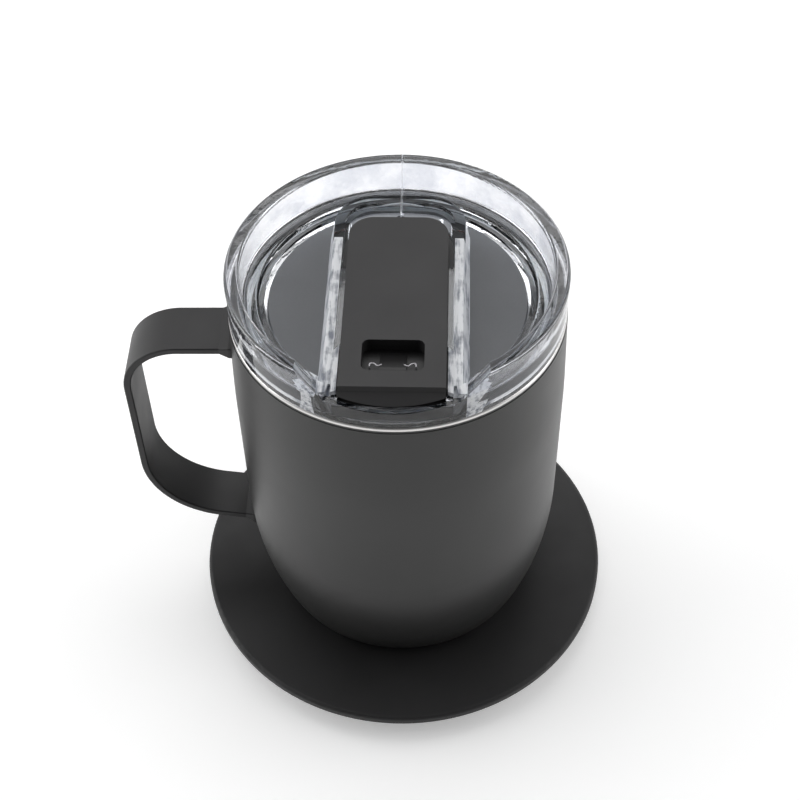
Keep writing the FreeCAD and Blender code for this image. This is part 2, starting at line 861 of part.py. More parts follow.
def channel_plan(grow, front):
    """Plan of the slider's channel: straight sides and a rear end with rounded corners."""
    side = channel_half_width + grow
    rear = channel_rear + grow
    corner = channel_rear_round + grow
    return [(-side, front, 0), (side, front, 0), (side, rear, corner), (-side, rear, corner)]


def bridge():
    """Raised bridge with drafted sides that carries the rails, from the floor to the rail tops."""
    front = -ring_radius
    low = rounded_wire(channel_plan(rail_top_width + rail_spread, front), at_height(lid_floor_underside))
    high = rounded_wire(channel_plan(rail_top_width, front), at_height(rail_top))
    in_cup = disc(cup_radius - side_gap, lid_floor_underside, mouth_height)
    into_ring = disc(ring_inner_low + bridge_root, mouth_height, rail_top)
    return Part.makeLoft([low, high], True).common(in_cup.fuse(into_ring))


def retention_lips():
    """Lips of the rails over the runner's flanges, with slanting front ends."""
    outer = channel_half_width + bridge_root
    inner = channel_half_width - lip_overhang
    lips = []
    for side in (-1, 1):
        plan = [(side * outer, lip_front - lip_slant, 0), (side * outer, lip_rear, 0),
                (side * inner, lip_rear, part_clearance), (side * inner, lip_front, part_clearance)]
        lips.append(prism(plan, rail_top - lip_thickness, rail_top))
    return lips


def spout_notch():
    """Opening through the ring in front of the channel, flared outwards and upwards."""
    inner_y, outer_y = notch_reach - ring_inner_low, -ring_radius - 2 * cut_past
    above = lid_top + cut_past

    def section(y, spread):
        low = notch_half_width + spread
        high = low + notch_lean
        corners = [(-low, notch_floor, notch_corner), (low, notch_floor, notch_corner),
                   (high, above, 0), (-high, above, 0)]
        return rounded_wire(corners, lambda x, z: point(x, y, z))

    return Part.makeLoft([section(inner_y, 0), section(outer_y, notch_flare)], True)


def lid_shell():
    """Turned body with its bridge, hollowed from below and opened for slider, spout, drink and vent."""
    hollow = channel_plan(-lid_plate * 0.4, hollow_front_inset - ring_inner_low)
    under = prism(hollow, lid_floor_underside - cut_past, platform_underside)
    channel = prism(channel_plan(0, channel_front_inset - ring_inner_low), platform_top, lid_top + cut_past)
    body = lid_turning().fuse(bridge()).cut(under).cut(channel).fuse(retention_lips())
    hole_bottom, hole_top = platform_underside - cut_past, platform_top + cut_past
    hole = block(0, drink_hole_centre, hole_bottom, drink_hole_width, drink_hole_length,
                 hole_top - hole_bottom, drink_hole_round)
    vent = post(0, channel_rear - vent_inset, vent_radius, hole_bottom, hole_top)
    return body.cut(spout_notch()).cut(hole).cut(vent).removeSplitter()


def lid_gasket():
    """Ring in the plug's groove with two fins that wipe the cup's wall."""
    root = plug_radius - groove_depth + groove_fit / 2
    reach = cup_radius - gasket_gap
    body = plug_radius + groove_fit
    low, high = groove_bottom + groove_fit, groove_top - groove_fit
    tip = fin_height - fin_thinning
    return turned([(root, low, 0), (body, low, 0), (reach, low + fin_slant, 0), (reach, low + tip, 0),
                   (body, low + fin_height + fin_slant, 0), (body, high - fin_height - fin_slant, 0),
                   (reach, high - tip, 0), (reach, high - fin_slant, 0), (body, high, 0), (root, high, 0)])


def slider_plan(side, rear, corner, front, front_corner=0):
    """Plan shared by the layers of the slider: each its own side, rear end and corner rounds."""
    front_corners = [(-side, front, front_corner), (side, front, front_corner)]
    return front_corners + [(side, rear, corner), (-side, rear, corner)]


def slider_envelope():
    """Turned form that rounds the nose: upright front, then the slope up to the flat top."""
    low = runner_top - cut_past
    return turned([(0, low, 0), (slider_front_radius, low, 0),
                   (slider_front_radius, slider_top - nose_drop, nose_foot_round),
                   (slider_front_radius - nose_run, slider_top, nose_top_round), (0, slider_top, 0)])


def slider_cap():
    """Top plate with neck, the finger window through both, and the nose that drops into the notch."""
    far_front = -slider_front_radius - cut_past
    nose_back = nose_back_inset - ring_inner_low
    plan = slider_plan(slider_half_width, slider_rear, slider_rear_round, far_front)
    plate = prism(plan, cap_bottom, slider_top)
    plate = plate.makeFillet(slider_edge_round, top_edges(plate, slider_top))
    neck_round = slider_rear_round - slider_edge_round
    neck_plan = slider_plan(neck_half_width, slider_rear - side_gap, neck_round, nose_back)
    neck = prism(neck_plan, runner_top, cap_bottom)
    nose = block(0, (nose_back + far_front) / 2, nose_bottom, 2 * slider_half_width, nose_back - far_front,
                 cap_bottom - nose_bottom)
    body = plate.fuse([neck, nose]).common(slider_envelope())
    window = block(0, window_centre, runner_top - cut_past, window_width, window_length,
                   slider_top - runner_top + 2 * cut_past, window_round)
    return body.cut(window).removeSplitter()


def slider_runner():
    """Flanged sole under the cap, with the thumb tongue and its two hooks inside the window."""
    flange = channel_half_width - side_gap
    front = sole_front_inset - ring_inner_low
    rear = slider_rear - side_gap
    plan = slider_plan(flange, rear, channel_rear_round, front, seal_side_margin)
    sole = prism(plan, runner_bottom, runner_top)
    width = drink_hole_width + 2 * (seal_side_margin + small_gap)
    length = drink_hole_length + 2 * (seal_end_margin + small_gap)
    depth = cut_past + seal_top - runner_bottom
    room = block(0, drink_hole_centre, runner_bottom - cut_past, width, length, depth,
                 drink_hole_round + small_gap)
    root = runner_top - small_gap
    tip = slider_top - tongue_below_top
    tongue_rear = window_centre + window_length / 2 - tongue_rear_room
    tongue_front = window_centre - window_length / 2 + tongue_below_top
    side = tongue_width / 2
    slope = [(tongue_rear, root), (tongue_rear, runner_top + part_clearance),
             (tongue_front + tongue_crown, tip), (tongue_front, tip), (tongue_front, root)]
    outline = rounded_wire([(y, z, small_gap) for y, z in slope], lambda y, z: point(-side, y, z))
    tongue = Part.Face(outline).extrude(point(tongue_width, 0, 0))
    hooks = [block(x, tongue_front + hook_setback, root, hook_width, hook_length, hook_height, hook_round)
             for x in (-side - hook_place, side + hook_place)]
    return sole.cut(room).fuse([tongue] + hooks).removeSplitter()


def drink_seal():
    """Soft pad in the runner's sole that covers the drink hole."""
    bottom = platform_top + seal_gap
    width, length = drink_hole_width + 2 * seal_side_margin, drink_hole_length + 2 * seal_end_margin
    pad = block(0, drink_hole_centre, bottom, width, length, seal_top - bottom, drink_hole_round)
    lower = [e for e in pad.Edges if e.BoundBox.ZMax < bottom + 1e-4]
    return pad.makeFillet(seal_edge_round, lower)


def in_mouth(shape):
    """Turn a piece of the lid to the angle at which the lid sits in the round mouth."""
    shape.rotate(ORIGIN, UP, lid_turn)
    return shape


pieces = {
    "saucer_top": saucer_top,
    "saucer_bottom": saucer_bottom,
    "saucer_pad": saucer_pad,
    "saucer_screws": saucer_screws,
    "transmitter_coil": transmitter_coil,
    "transmitter_ferrite": transmitter_ferrite,
    "coil_tray": coil_tray,
    "saucer_board": saucer_board,
    "saucer_board_parts": saucer_board_parts,
    "power_socket": power_socket,
    "outer_shell": outer_shell,
    "inner_cup": inner_cup,
    "strap_handle": strap_handle,
    "bottom_cover": bottom_cover,
    "foot_ring": foot_ring,
    "bottom_screws": bottom_screws,
    "receiver_coil": receiver_coil,
    "receiver_ferrite": receiver_ferrite,
    "cradle": cradle,
    "mug_board": mug_board,
    "mug_board_parts": mug_board_parts,
    "heater_foil": heater_foil,
    "heater_plate": heater_plate,
    "heat_shield": heat_shield,
    "temperature_sensor": temperature_sensor,
    "thermal_cutoff": thermal_cutoff,
}
lid_pieces = {
    "lid_shell": lid_shell,
    "lid_gasket": lid_gasket,
    "slider_cap": slider_cap,
    "slider_runner": slider_runner,
    "drink_seal": drink_seal,
}

os.makedirs("parts", exist_ok=True)
for name, make in pieces.items():
    make().exportStep("parts/" + name + ".step")
for name, make in lid_pieces.items():
    in_mouth(make()).exportStep("parts/" + name + ".step")
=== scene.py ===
import json
import math

import bmesh
import bpy
from mathutils import Euler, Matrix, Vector
from mathutils.bvhtree import BVHTree
from mathutils.geometry import barycentric_transform

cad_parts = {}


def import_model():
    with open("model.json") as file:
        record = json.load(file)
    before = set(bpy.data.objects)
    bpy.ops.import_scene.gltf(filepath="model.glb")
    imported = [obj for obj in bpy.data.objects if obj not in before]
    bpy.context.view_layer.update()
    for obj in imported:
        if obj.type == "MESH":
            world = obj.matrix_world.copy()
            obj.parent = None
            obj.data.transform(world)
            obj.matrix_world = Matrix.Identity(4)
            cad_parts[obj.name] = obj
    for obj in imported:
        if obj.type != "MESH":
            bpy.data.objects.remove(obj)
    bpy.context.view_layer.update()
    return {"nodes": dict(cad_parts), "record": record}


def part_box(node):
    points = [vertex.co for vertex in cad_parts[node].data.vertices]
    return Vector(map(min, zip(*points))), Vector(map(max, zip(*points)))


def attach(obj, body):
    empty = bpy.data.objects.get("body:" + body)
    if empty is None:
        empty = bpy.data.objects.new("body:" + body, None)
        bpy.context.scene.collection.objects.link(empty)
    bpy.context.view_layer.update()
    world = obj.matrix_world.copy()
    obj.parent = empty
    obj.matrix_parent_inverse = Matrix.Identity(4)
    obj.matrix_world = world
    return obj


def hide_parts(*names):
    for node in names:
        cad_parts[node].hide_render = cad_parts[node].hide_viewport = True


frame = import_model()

# Self-heating mug on its charging saucer. Metres, +Z up, drinking side -Y, handle -X.

MM = 0.001
node = frame["nodes"]


# Camera

CAMERA_BACK = 272.9 * MM
CAMERA_HEIGHT = 389.04 * MM
CAMERA_TURN = 1.78
CAMERA_PITCH = 48.59
CAMERA_ROLL = -1.35
FOCAL_PIXELS = 1475.4
PICTURE_PIXELS = 800
SENSOR = 36.0


def camera():
    data = bpy.data.cameras.new("camera")
    data.sensor_width = SENSOR
    data.lens = SENSOR * FOCAL_PIXELS / PICTURE_PIXELS
    data.clip_start, data.clip_end = 0.01, 20.0
    seen_from = bpy.data.objects.new("camera", data)
    round_the_mug = Euler((0, 0, math.radians(CAMERA_TURN))).to_matrix()
    pitch = Euler((math.radians(90 - CAMERA_PITCH), 0, 0)).to_matrix()
    roll = Euler((0, 0, math.radians(CAMERA_ROLL))).to_matrix()
    seen_from.location = round_the_mug @ Vector((0, -CAMERA_BACK, CAMERA_HEIGHT))
    seen_from.rotation_euler = (round_the_mug @ pitch @ roll).to_euler()
    bpy.context.scene.collection.objects.link(seen_from)
    bpy.context.scene.camera = seen_from


# Short calls for node trees

class Tree:
    """Node tree with short calls to add a node and to wire it."""

    def __init__(self, tree):
        self.tree = tree

    def add(self, kind, **values):
        made = self.tree.nodes.new(kind)
        for name, value in values.items():
            setattr(made, name, value)
        return made

    def wire(self, source, target):
        self.tree.links.new(source, target)

    def feed(self, socket, value):
        if isinstance(value, bpy.types.NodeSocket):
            self.wire(value, socket)
        else:
            socket.default_value = value

    def maths(self, operation, first, second=0.0):
        made = self.add("ShaderNodeMath", operation=operation)
        self.feed(made.inputs[0], first)
        self.feed(made.inputs[1], second)
        return made.outputs[0]

    def noise(self, vector, scale, detail=2.0, roughness=0.5):
        made = self.add("ShaderNodeTexNoise")
        self.wire(vector, made.inputs["Vector"])
        self.feed(made.inputs["Scale"], scale)
        made.inputs["Detail"].default_value = detail
        made.inputs["Roughness"].default_value = roughness
        return made.outputs["Fac"]

    def spread(self, value, low, high, to_low=0.0, to_high=1.0):
        made = self.add("ShaderNodeMapRange")
        self.feed(made.inputs["Value"], value)
        for name, number in (("From Min", low), ("From Max", high), ("To Min", to_low), ("To Max", to_high)):
            self.feed(made.inputs[name], number)
        return made.outputs["Result"]

    def blend(self, factor, first, second):
        made = self.add("ShaderNodeMix", data_type="RGBA")
        self.feed(made.inputs["Factor"], factor)
        self.feed(made.inputs[6], first)
        self.feed(made.inputs[7], second)
        return made.outputs[2]

    def place(self):
        return self.add("ShaderNodeTexCoord").outputs["Object"]

    def round_axis(self):
        """The place as x, y and z, and its distance from the upright axis."""
        parts = self.add("ShaderNodeSeparateXYZ")
        self.wire(self.place(), parts.inputs[0])
        x, y, z = parts.outputs
        squares = self.maths("ADD", self.maths("POWER", x, 2.0), self.maths("POWER", y, 2.0))
        radius = self.maths("SQRT", squares)
        return x, y, z, radius


def group(name, inputs, outputs):
    """Empty shader group with named sockets: (name, kind, value) in, (name, kind) out."""
    tree = bpy.data.node_groups.new(name, "ShaderNodeTree")
    for title, kind, value in inputs:
        tree.interface.new_socket(title, in_out="INPUT", socket_type=kind).default_value = value
    for title, kind in outputs:
        tree.interface.new_socket(title, in_out="OUTPUT", socket_type=kind)
    t = Tree(tree)
    return t, t.add("NodeGroupInput").outputs, t.add("NodeGroupOutput").inputs


FLOAT, COLOUR = "NodeSocketFloat", "NodeSocketColor"
CLOUD_SHARE = 0.6
AROUND_SCALE = 0.6 * MM


def grain_group():
    """Fine moulded or sprayed grain: a height, and a roughness that follows slow handling marks."""
    t, given, out = group("grain", [("Grain size", FLOAT, 0.0004), ("Mark size", FLOAT, 0.02),
                                    ("Roughness low", FLOAT, 0.4), ("Roughness high", FLOAT, 0.5)],
                          [("Height", FLOAT), ("Roughness", FLOAT)])
    place = t.place()
    fine = t.noise(place, t.maths("DIVIDE", 1.0, given["Grain size"]), 3.0, 0.6)
    t.wire(fine, out["Height"])
    slow = t.noise(place, t.maths("DIVIDE", 1.0, given["Mark size"]), 4.0, 0.55)
    t.wire(t.spread(slow, 0.3, 0.7, given["Roughness low"], given["Roughness high"]), out["Roughness"])
    return t.tree


def tint_group():
    """Two close tones of one colour, mixed by a slow cloud and a fine speckle."""
    t, given, out = group("tint", [("Colour", COLOUR, (0.5, 0.5, 0.5, 1)),
                                   ("Second colour", COLOUR, (0.4, 0.4, 0.4, 1)),
                                   ("Cloud size", FLOAT, 0.03), ("Speckle size", FLOAT, 0.0005)],
                          [("Colour", COLOUR)])
    place = t.place()
    cloud = t.noise(place, t.maths("DIVIDE", 1.0, given["Cloud size"]), 2.0)
    speckle = t.noise(place, t.maths("DIVIDE", 1.0, given["Speckle size"]), 1.0)
    share = t.maths("ADD", t.maths("MULTIPLY", cloud, CLOUD_SHARE),
                    t.maths("MULTIPLY", speckle, 1 - CLOUD_SHARE))
    t.wire(t.blend(t.spread(share, 0.35, 0.65), given["Colour"], given["Second colour"]), out["Colour"])
    return t.tree


def spun_group():
    """Fine lines that run round the upright axis, as on spun or polished steel."""
    t, given, out = group("spun_lines", [("Line pitch", FLOAT, 0.0003)], [("Lines", FLOAT)])
    x, y, z, radius = t.round_axis()
    across = t.maths("ADD", radius, z)
    around = t.maths("MULTIPLY", t.maths("ARCTAN2", y, x), AROUND_SCALE)
    flat = t.add("ShaderNodeCombineXYZ")
    t.wire(across, flat.inputs["X"])
    t.wire(around, flat.inputs["Y"])
    t.wire(t.noise(flat.outputs[0], t.maths("DIVIDE", 1.0, given["Line pitch"]), 3.0, 0.7), out["Lines"])
    return t.tree


class Material(Tree):
    """Principled material whose surface detail comes from the groups above."""

    def __init__(self, name, **constants):
        self.material = bpy.data.materials.new(name)
        self.material.use_nodes = True
        super().__init__(self.material.node_tree)
        self.shader = self.tree.nodes["Principled BSDF"]
        for title, value in constants.items():
            self.shader.inputs[title.replace("_", " ")].default_value = value

    def use(self, tree, **values):
        made = self.add("ShaderNodeGroup")
        made.node_tree = tree
        for title, value in values.items():
            self.feed(made.inputs[title.replace("_", " ")], value)
        return made.outputs

    def bump(self, height, distance):
        made = self.add("ShaderNodeBump")
        made.inputs["Distance"].default_value = distance
        made.inputs["Strength"].default_value = 1.0
        self.wire(height, made.inputs["Height"])
        self.wire(made.outputs["Normal"], self.shader.inputs["Normal"])

    def colour(self, first, second, cloud=0.03, speckle=0.0005):
        mixed = self.use(TINT, Colour=(*first, 1), Second_colour=(*second, 1), Cloud_size=cloud,
                         Speckle_size=speckle)
        self.wire(mixed["Colour"], self.shader.inputs["Base Color"])

    def grained(self, size, depth, low, high, marks=0.02):
        made = self.use(GRAIN, Grain_size=size, Mark_size=marks, Roughness_low=low, Roughness_high=high)
        self.wire(made["Roughness"], self.shader.inputs["Roughness"])
        self.bump(made["Height"], depth)

    def show(self, shader):
        self.wire(shader, self.tree.nodes["Material Output"].inputs["Surface"])


# Materials

LID_TURN = math.radians(-1.1)
INSIDE_GREY_EDGE = 41.2 * MM
INSIDE_GREY_FADE = 0.3 * MM
BARE_LIP = 1.1 * MM
PAINT_FADE = 0.1 * MM
THICK_RING = 38.0 * MM
THICK_RING_FADE = 1.5 * MM
SEAM_HALF_WIDTH = 0.12 * MM
SEAM_FADE = 0.14 * MM
SEAM_START = 20.0 * MM
SEAM_START_FADE = 1.0 * MM
CLEAR_ROUGHNESS = 0.02
SEAM_ROUGHNESS = 0.6
FLOW_MARK_DEPTH = 0.07 * MM
GLINT_STREAK_SHARE = 0.6


def shell_paint():
    """Satin dark grey powder coat of the mug's outer shell."""
    m = Material("shell_paint", Metallic=0.3)
    m.colour((0.030, 0.030, 0.030), (0.035, 0.035, 0.0345), 0.05, 0.00025)
    m.grained(0.0007, 0.000004, 0.38, 0.43, 0.03)
    return m.material


def matt_black(name, tone, low, high, size=0.0004):
    """Near-black moulded plastic or powder coat, with its tone and its lowest and highest roughness."""
    m = Material(name, Specular_IOR_Level=0.45)
    m.colour((tone, tone * 0.97, tone * 1.02), (tone * 1.15, tone * 1.11, tone * 1.18), 0.03, size)
    m.grained(size, 0.000012, low, high)
    return m.material


def cup_metal():
    """Bare spun steel on top of the rolled mouth, dark paint below it, a satin dark grey inside the cup."""
    m = Material("lip_steel")
    x, y, z, radius = m.round_axis()
    outside = m.spread(radius, INSIDE_GREY_EDGE, INSIDE_GREY_EDGE + INSIDE_GREY_FADE)
    bare_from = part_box("inner_cup")[1].z - BARE_LIP
    above = m.spread(z, bare_from - PAINT_FADE, bare_from)
    share = m.maths("MULTIPLY", outside, above)
    lines = m.use(SPUN, Line_pitch=0.0003)["Lines"]
    steel = m.blend(lines, (0.62, 0.61, 0.60, 1), (0.72, 0.71, 0.70, 1))
    # satin dark grey inside the cup
    inside_grey = m.use(TINT, Colour=(0.11, 0.115, 0.12, 1), Second_colour=(0.125, 0.13, 0.135, 1))["Colour"]
    painted = m.blend(outside, inside_grey, (0.032, 0.032, 0.032, 1))
    m.wire(m.blend(share, painted, steel), m.shader.inputs["Base Color"])
    m.wire(share, m.shader.inputs["Metallic"])
    polished = m.spread(lines, 0.2, 0.8, 0.24, 0.36)
    m.wire(m.spread(outside, 0.0, 1.0, 0.6, polished), m.shader.inputs["Roughness"])
    m.bump(lines, 0.000006)
    return m.material


def clear_plastic():
    """Clear moulded plastic: slow flow marks, a painted reflection in the thick ring (a blotchy grey tint
    that stands in for the surroundings seen through it), a parting line at the rear.
    """
    m = Material("clear_plastic", Roughness=CLEAR_ROUGHNESS, IOR=1.5, Transmission_Weight=1.0)
    x, y, z, radius = m.round_axis()
    rim = m.spread(radius, THICK_RING, THICK_RING + THICK_RING_FADE)
    cloud = m.spread(m.noise(m.place(), 95.0, 4.0, 0.65), 0.40, 0.60)
    # painted reflection: the thick ring's blotchy grey tint stands in for the surroundings seen in and
    # through the clear ring
    painted_reflection_tint = m.blend(cloud, (0.72, 0.74, 0.80, 1), (0.95, 0.96, 0.99, 1))
    m.wire(m.blend(rim, (0.93, 0.95, 0.98, 1), painted_reflection_tint), m.shader.inputs["Base Color"])
    light = m.add("ShaderNodeLightPath")
    open_way = m.add("ShaderNodeBsdfTransparent")
    open_way.inputs["Color"].default_value = (0.9, 0.91, 0.92, 1)
    mixed = m.add("ShaderNodeMixShader")
    m.wire(light.outputs["Is Shadow Ray"], mixed.inputs[0])
    m.wire(m.shader.outputs[0], mixed.inputs[1])
    m.wire(open_way.outputs[0], mixed.inputs[2])
    m.show(mixed.outputs[0])
    from_seam = m.maths("ABSOLUTE", m.maths("SUBTRACT", x, m.maths("MULTIPLY", y, math.tan(-LID_TURN))))
    beside_seam = m.spread(from_seam, SEAM_HALF_WIDTH, SEAM_HALF_WIDTH + SEAM_FADE, 1.0, 0.0)
    seam = m.maths("MULTIPLY", beside_seam, m.spread(y, SEAM_START, SEAM_START + SEAM_START_FADE))
    rougher = m.maths("MULTIPLY", seam, SEAM_ROUGHNESS)
    m.wire(m.maths("ADD", CLEAR_ROUGHNESS, rougher), m.shader.inputs["Roughness"])
    marks = m.use(GRAIN, Grain_size=0.006, Mark_size=0.02)["Height"]
    m.bump(m.maths("MULTIPLY", marks, m.spread(rim, 0.0, 1.0, 0.3, 1.0)), FLOW_MARK_DEPTH)
    return m.material


def frosted_plastic():
    """The same plastic where the mould is etched, frosted, with painted light: whitish stripes along the
    rails, from dark to near white, stand in for light refracted in them.
    """
    m = Material("frosted_plastic", Roughness=0.3, IOR=1.5, Transmission_Weight=0.25)
    stretch = m.add("ShaderNodeMapping")
    stretch.inputs["Scale"].default_value = (1.0, 0.12, 1.0)
    m.wire(m.place(), stretch.inputs["Vector"])
    glint_streaks = m.noise(stretch.outputs["Vector"], 900.0, 3.0, 0.6)
    glint_blotches = m.noise(m.place(), 220.0, 3.0, 0.6)
    share = m.maths("ADD", m.maths("MULTIPLY", glint_streaks, GLINT_STREAK_SHARE),
                    m.maths("MULTIPLY", glint_blotches, 1 - GLINT_STREAK_SHARE))
    # painted light: stripes from dark to near white stand in for light refracted in the frosted rails
    tone = m.spread(share, 0.40, 0.54)
    m.wire(m.blend(tone, (0.2, 0.22, 0.27, 1), (0.95, 0.97, 1.0, 1)), m.shader.inputs["Base Color"])
    m.bump(share, 0.0002)
    return m.material


def satin_window():
    """Flat floor of the lid beside the bridge: part-opaque grey plastic whose colour is painted shade,
    standing in for the dark cup seen through it as one even grey.
    """
    m = Material("satin_window", IOR=1.5, Transmission_Weight=0.7)
    m.colour((0.225, 0.235, 0.255), (0.255, 0.265, 0.285), 0.01, 0.0006)
    m.grained(0.0005, 0.00001, 0.42, 0.5)
    return m.material


def silicone():
    m = Material("silicone", Subsurface_Weight=0.1)
    m.colour((0.6, 0.6, 0.59), (0.66, 0.66, 0.65))
    m.grained(0.0005, 0.00001, 0.45, 0.55)
    return m.material


def metal(name, first, second, low, high, size=0.0003):
    m = Material(name, Metallic=1.0)
    m.colour(first, second, 0.01, size)
    m.grained(size, 0.000005, low, high, 0.008)
    return m.material


def plain(name, first, second, low, high, size=0.0004, depth=0.00001):
    m = Material(name)
    m.colour(first, second, 0.015, size)
    m.grained(size, depth, low, high, 0.01)
    return m.material


GRAIN, TINT, SPUN = grain_group(), tint_group(), spun_group()

finish = {
    "shell_paint": shell_paint(),
    "lip_steel": cup_metal(),
    "handle_black": matt_black("handle_black", 0.014, 0.45, 0.55),
    "saucer_black": matt_black("saucer_black", 0.012, 0.5, 0.62),
    "base_black": matt_black("base_black", 0.016, 0.55, 0.65),
    "slider_black": matt_black("slider_black", 0.0165, 0.45, 0.55),
    "clear_plastic": clear_plastic(),
    # frosted rails whose whitish stripes are painted light
    "frosted_plastic": frosted_plastic(),
    # painted shade: the windows' grey stands in for the shaded cup seen through the lid
    "satin_window": satin_window(),
    # painted shade: the runner's darker black stands in for the shade in the finger window's recess
    "runner_black": matt_black("runner_black", 0.005, 0.35, 0.45),
    # painted highlight: the hook lips' light grey stands in for glints on their edges
    "hook_gloss": matt_black("hook_gloss", 0.5, 0.15, 0.25),
    "silicone": silicone(),
    "rubber_black": plain("rubber_black", [0.02] * 3, [0.026] * 3, 0.7, 0.85, 0.0006, 0.00002),
    "copper": metal("copper", (0.72, 0.36, 0.2), (0.8, 0.44, 0.27), 0.3, 0.4),
    "ferrite": plain("ferrite", (0.035, 0.035, 0.038), (0.05, 0.05, 0.052), 0.55, 0.7),
    "board_green": plain("board_green", (0.012, 0.09, 0.04), (0.018, 0.12, 0.055), 0.3, 0.4),
    "component": plain("component", (0.025, 0.025, 0.027), (0.035, 0.035, 0.036), 0.45, 0.6),
    "steel": metal("steel", (0.52, 0.52, 0.52), (0.6, 0.6, 0.6), 0.28, 0.4),
    "film_amber": plain("film_amber", (0.42, 0.17, 0.03), (0.5, 0.22, 0.05), 0.25, 0.35),
    "plate_aluminium": metal("plate_aluminium", (0.72, 0.72, 0.73), (0.8, 0.8, 0.81), 0.35, 0.5),
    "insulation": plain("insulation", (0.72, 0.7, 0.64), (0.8, 0.78, 0.72), 0.85, 0.95, 0.0012, 0.0002),
}


def wear(mesh, *names):
    """Give a mesh its finishes, in the order of its material slots."""
    mesh.materials.clear()
    for name in names:
        mesh.materials.append(finish[name])


for part in frame["record"]["subparts"]:
    wear(node[part["node"]].data, part["material_slot"])


# Lid pieces as they are seen, in millimetres and before the lid's turn; heights follow the mouth

PACKED_TURN = math.radians(-2.6)
MOUTH = round(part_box("inner_cup")[1].z / MM, 2)


def over_mouth(rise):
    """Height of a place that lies this far above the mouth."""
    return round(MOUTH + rise, 3)


# Cutters pass a piece by OVERSHOOT, joined solids overlap by JOIN, and OFF_FACE avoids a shared face
OVERSHOOT = 1.0
JOIN = 0.1
OFF_FACE = 0.02

NOTCH_FLOOR = over_mouth(6.2)
NOTCH_FOOT = 16.5
NOTCH_BEND = (19.5, over_mouth(9.45))
NOTCH_CREST = (24.8, over_mouth(13.55))
NOTCH_STEPS = 40
NOTCH_ROOM = 0.05
RAIL_TOP = over_mouth(7.7)
RAIL_REAR = 15.2
RAIL_INSIDE = 14.7
RAIL_OUTSIDE = 22.0
RAIL_FOOT = over_mouth(1.1)
RAIL_FRONT = -39.4
LIP_FRONT = -24.0
LIP_INSIDE = 13.2
LIP_BOTTOM = over_mouth(6.4)
STRIP_INSIDE = 13.4
STRIP_OVERLAP = 0.05
STRIP_CORNER = 0.5
REAR_WALL_TOP = over_mouth(5.8)
LEDGE_RADIUS = 36.4
LEDGE_STEPS = 48
POUR_START = -42.3
POUR_SLOPE = 0.65
FRONT = -46.0
RING_BACK = -27.8
WINDOW_HEIGHT = over_mouth(0.4)

SLIDER_TOP = over_mouth(9.9)
CAP_BOTTOM = over_mouth(8.0)
NECK_BOTTOM = over_mouth(6.1)
NECK_INSET = 0.1
NECK_REAR_INSET = 0.3
NECK_REAR_ROUND = 6.0
NOSE_BOTTOM = over_mouth(6.5)
NOSE_BACK = -37.8
NOSE_EDGE = 0.3
NOSE_DROP = 1.35
CUT_HEIGHT = 8.0
CUT_HALF_WIDTH = 20.0
SLIDER_HALF = 13.0
SLIDER_REAR = 20.8
SLIDER_REAR_ROUND = 6.5
SLIDER_FRONT = -43.0
SLIDER_EDGE = 0.35
CREASE = -39.4
CREASE_DROP = 0.15
CREASE_RUN = 0.5
FINGER_CENTRE = -29.0
FINGER_WIDTH = 15.3
FINGER_LENGTH = 10.1
FINGER_ROUND = 1.8
CORNER_STEPS = 12
FRONT_STEP = 2
HOOK_HEIGHT = over_mouth(8.1)
HOOK_WIRE = 0.2
HOOK_LINE = ((2.7, -30.6), (3.7, -31.0), (4.6, -30.3), (5.5, -30.3), (5.7, -31.3))

# How near a face has to be, and how alike it has to face, to count as the same one or as one of a kind
MERGE_DISTANCE = 0.001 * MM
SAME_PLACE = 0.004 * MM
SAME_FACING = 0.995
FACING_UP = 0.9
FLAT_UP = 0.99
FACE_ROOM = 0.1
WINDOW_ROOM = 0.05


def turned_mesh(work, name, angle):
    bmesh.ops.rotate(work, cent=(0, 0, 0), matrix=Euler((0, 0, angle)).to_matrix(), verts=work.verts)
    mesh = bpy.data.meshes.new(name)
    work.to_mesh(mesh)
    work.free()
    return mesh


def merged_copy(name):
    """Copy of a CAD node's triangles with its doubles merged, turned as the lid is seen."""
    work = bmesh.new()
    work.from_mesh(node[name].data)
    bmesh.ops.remove_doubles(work, verts=work.verts, dist=MERGE_DISTANCE)
    return turned_mesh(work, name + "_seen", LID_TURN - PACKED_TURN)


def cutter(name, outline, place, along):
    """Prism drawn along a vector from an outline of (u, v) points, in the lid's own frame."""
    work = bmesh.new()
    near = [work.verts.new(place(u, v) * MM) for u, v in outline]
    far = [work.verts.new((place(u, v) + along) * MM) for u, v in outline]
    work.faces.new(near)
    work.faces.new(far[::-1])
    for i in range(len(near)):
        work.faces.new((near[i - 1], far[i - 1], far[i], near[i]))
    bmesh.ops.recalc_face_normals(work, faces=work.faces)
    return bpy.data.objects.new(name, turned_mesh(work, name, LID_TURN))


def notch_side(bottom):
    """Right side of the spout notch from a height up to the crest, as a curve that sweeps outwards."""
    side = []
    for i in range(NOTCH_STEPS + 1):
        t = i / NOTCH_STEPS
        x = (1 - t) ** 2 * NOTCH_FOOT + 2 * t * (1 - t) * NOTCH_BEND[0] + t * t * NOTCH_CREST[0]
        z = (1 - t) ** 2 * NOTCH_FLOOR + 2 * t * (1 - t) * NOTCH_BEND[1] + t * t * NOTCH_CREST[1]
        if z >= bottom:
            side.append((x, z))
    started_above = side[0][1] > bottom + NOTCH_ROOM
    return [(side[0][0], bottom)] + side if started_above else side


def on_top(height):
    return lambda x, y: Vector((x, y, height))


